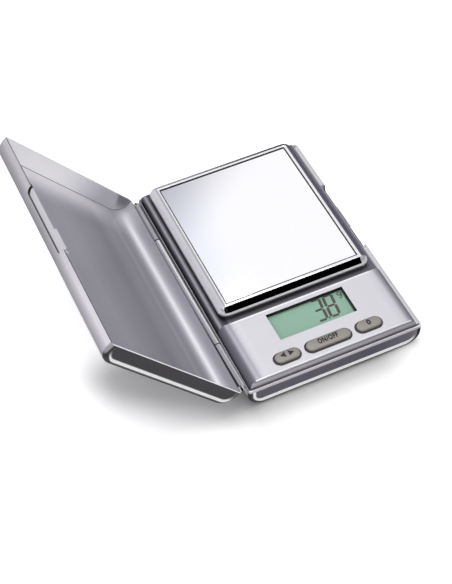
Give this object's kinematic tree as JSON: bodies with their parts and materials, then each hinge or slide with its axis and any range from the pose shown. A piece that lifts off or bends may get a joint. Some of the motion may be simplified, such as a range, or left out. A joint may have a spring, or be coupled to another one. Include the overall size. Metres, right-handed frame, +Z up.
{
  "type": "pocket digital scale",
  "caption": "Flat battery scale in a hinged steel case: a mirror pan on a load cell, a display and push buttons, under a folding cover.",
  "frame": {"origin": "middle of the underside of the base case, on the surface it stands on", "axes": "+X from the hinge side to the catch side, +Y from the buttons to the back of the pan, +Z up"},
  "size_m": [0.1283, 0.11, 0.0693],
  "materials": {
    "case_steel": "satin rolled stainless sheet",
    "hinge_steel": "brushed stainless",
    "pin_steel": "polished",
    "spring_steel": "bright spring steel",
    "housing_plastic": "silver paint with a fine sparkle",
    "screw_steel": "zinc plated",
    "window_clear": "clear, polished",
    "display_green": "grey-green reflective display",
    "strip_rubber": "matt",
    "board_green": "green solder mask",
    "chip_black": "poured resin",
    "switch_grey": "moulded",
    "button_grey": "satin moulded",
    "cap_grey": "fine grain",
    "cell_steel": "nickel plated",
    "contact_brass": "plated strip",
    "cell_aluminium": "machined",
    "gauge_film": "foil on film",
    "ribbon_red": "soft insulation",
    "support_aluminium": "die cast",
    "pan_silver": "bright metallised",
    "mirror_plate": "mirror-bright polished plate"
  },
  "bodies": {
    "base": {"base_case": "case_steel", "hinge_leaf_base": "hinge_steel", "hinge_pin": "pin_steel", "catch_spring": "spring_steel", "housing_bottom": "housing_plastic", "housing_top": "housing_plastic", "housing_screw_1": "screw_steel", "housing_screw_2": "screw_steel", "housing_screw_3": "screw_steel", "housing_screw_4": "screw_steel", "display_window": "window_clear", "display_glass": "display_green", "display_strip_front": "strip_rubber", "display_strip_back": "strip_rubber", "circuit_board": "board_green", "board_screw_left": "screw_steel", "board_screw_right": "screw_steel", "coated_chip": "chip_black", "key_switch_left": "switch_grey", "key_switch_middle": "switch_grey", "key_switch_right": "switch_grey", "coin_cell": "cell_steel", "battery_contact_side": "contact_brass", "battery_contact_top": "contact_brass", "load_cell": "cell_aluminium", "load_cell_screw_1": "screw_steel", "load_cell_screw_2": "screw_steel", "overload_screw": "screw_steel", "strain_gauge_1": "gauge_film", "strain_gauge_2": "gauge_film", "strain_gauge_3": "gauge_film", "strain_gauge_4": "gauge_film", "gauge_ribbon": "ribbon_red"},
    "cover": {"cover_case": "case_steel", "hinge_leaf_cover": "hinge_steel", "catch_strike": "spring_steel"},
    "platform": {"pan_support": "support_aluminium", "support_screw_1": "screw_steel", "support_screw_2": "screw_steel", "pan_frame": "pan_silver", "mirror_plate": "mirror_plate"},
    "button_left": {"button_left": "button_grey"},
    "button_middle": {"button_middle": "button_grey"},
    "button_right": {"button_right": "button_grey"},
    "battery_door": {"battery_cap": "cap_grey"},
    "catch": {"catch_tab": "spring_steel"}
  },
  "joints": [
    {"name": "cover_hinge", "type": "hinge", "parent": "base", "child": "cover", "pos_m": [-0.0391, 0, 0.01], "axis": [0, 1, 0], "range_deg": [-51, 129]},
    {"name": "pan_slide", "type": "slide", "parent": "base", "child": "platform", "axis": [0, 0, 1], "range_m": [-0.0003, 0], "stiffness_N_per_m": 16000, "deforming": ["load_cell"]},
    {"name": "button_left_press", "type": "slide", "parent": "base", "child": "button_left", "axis": [0, 0, 1], "range_m": [-0.0005, 0], "stiffness_N_per_m": 2500},
    {"name": "button_middle_press", "type": "slide", "parent": "base", "child": "button_middle", "axis": [0, 0, 1], "range_m": [-0.0005, 0], "stiffness_N_per_m": 2500},
    {"name": "button_right_press", "type": "slide", "parent": "base", "child": "button_right", "axis": [0, 0, 1], "range_m": [-0.0005, 0], "stiffness_N_per_m": 2500},
    {"name": "battery_cap_turn", "type": "hinge", "parent": "base", "child": "battery_door", "pos_m": [0.013, -0.038, 0], "axis": [0, 0, -1], "range_deg": [0, 60]},
    {"name": "catch_press", "type": "slide", "parent": "base", "child": "catch", "axis": [-1, 0, 0], "range_m": [0, 0.0005], "stiffness_N_per_m": 4000}
  ]
}
